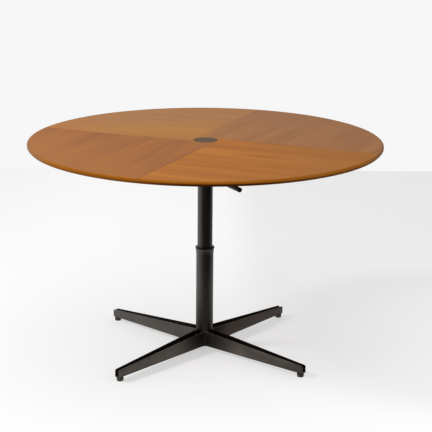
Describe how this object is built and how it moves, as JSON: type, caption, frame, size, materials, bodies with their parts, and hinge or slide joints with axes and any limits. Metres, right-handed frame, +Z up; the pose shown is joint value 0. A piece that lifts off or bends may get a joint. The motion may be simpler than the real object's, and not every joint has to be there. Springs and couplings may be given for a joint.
{
  "type": "adjustable table",
  "caption": "Round wooden table on a telescopic steel column with a splayed plate base; a lever under the top frees its height and lets it turn.",
  "frame": {"origin": "on the floor at the column's axis", "axes": "+Z up; +X and +Y along two arms of the base, and the lever at 22.5 degrees below +X"},
  "size_m": [1.2, 1.2, 0.7435],
  "materials": {
    "veneer_warm": "satin lacquer, grain along the quarter",
    "veneer_deep": "satin lacquer, grain across the next quarter",
    "edge_wood": "satin lacquer",
    "core_board": "plain board",
    "bronze_disc": "satin bronze",
    "dark_enamel": "satin enamel",
    "cast_spider": "satin enamel",
    "plain_steel": "plain",
    "black_plastic": "matte",
    "glide_plastic": "matte",
    "rubber_stop": "matte"
  },
  "bodies": {
    "base": {"lower_tube": "dark_enamel", "guide_sleeve": "black_plastic", "tube_plug": "dark_enamel", "buffer_ring": "rubber_stop", "wing_plate_1": "dark_enamel", "wing_plate_2": "dark_enamel", "wing_plate_3": "dark_enamel", "wing_plate_4": "dark_enamel", "foot_post_1": "dark_enamel", "foot_post_2": "dark_enamel", "foot_post_3": "dark_enamel", "foot_post_4": "dark_enamel"},
    "runner": {"guide_ring": "black_plastic"},
    "upper": {"upper_tube": "dark_enamel", "collet": "plain_steel", "rod_guide": "black_plastic", "top_spider": "cast_spider", "spider_screws": "plain_steel", "centre_bolt": "plain_steel", "top_core": "core_board", "top_rim": "edge_wood", "backing_veneer": "core_board", "centre_disc": "bronze_disc", "lever_bracket": "dark_enamel", "clamp_screws": "plain_steel", "pivot_pin": "plain_steel", "pin_clip": "plain_steel", "return_spring": "plain_steel", "veneer_quarter_1": "veneer_deep", "veneer_quarter_2": "veneer_warm", "veneer_quarter_3": "veneer_deep", "veneer_quarter_4": "veneer_warm"},
    "lever": {"lever_arm": "plain_steel", "lever_grip": "black_plastic"},
    "release": {"release_rod": "plain_steel", "release_cone": "plain_steel", "cone_nut": "plain_steel", "rod_collar": "plain_steel", "collar_pin": "plain_steel"},
    "glide_1": {"foot_glide_1": "glide_plastic"},
    "glide_2": {"foot_glide_2": "glide_plastic"},
    "glide_3": {"foot_glide_3": "glide_plastic"},
    "glide_4": {"foot_glide_4": "glide_plastic"}
  },
  "joints": [
    {"name": "height_slide", "type": "slide", "parent": "base", "child": "runner", "axis": [0, 0, 1], "range_m": [-0.215, 0.005]},
    {"name": "top_swivel", "type": "hinge", "parent": "runner", "child": "upper", "pos_m": [0, 0, 0.306], "axis": [0, 0, 1], "continuous": true},
    {"name": "lever_lift", "type": "hinge", "parent": "upper", "child": "lever", "pos_m": [0.03696, -0.01531, 0.625], "axis": [-0.3827, -0.9239, 0], "range_deg": [0, 10], "stiffness_Nm_per_rad": 6, "springref_deg": -5.73},
    {"name": "release_slide", "type": "slide", "parent": "upper", "child": "release", "axis": [0, 0, 1], "range_m": [-0.0075, 0], "deforming": ["return_spring"]},
    {"name": "glide_1_screw", "type": "slide", "parent": "base", "child": "glide_1", "axis": [0, 0, 1], "range_m": [-0.006, 0]},
    {"name": "glide_2_screw", "type": "slide", "parent": "base", "child": "glide_2", "axis": [0, 0, 1], "range_m": [-0.006, 0]},
    {"name": "glide_3_screw", "type": "slide", "parent": "base", "child": "glide_3", "axis": [0, 0, 1], "range_m": [-0.006, 0]},
    {"name": "glide_4_screw", "type": "slide", "parent": "base", "child": "glide_4", "axis": [0, 0, 1], "range_m": [-0.006, 0]}
  ],
  "couplings": [
    {"joint": "release_slide", "follows": "lever_lift", "m_per_rad": -0.04}
  ]
}
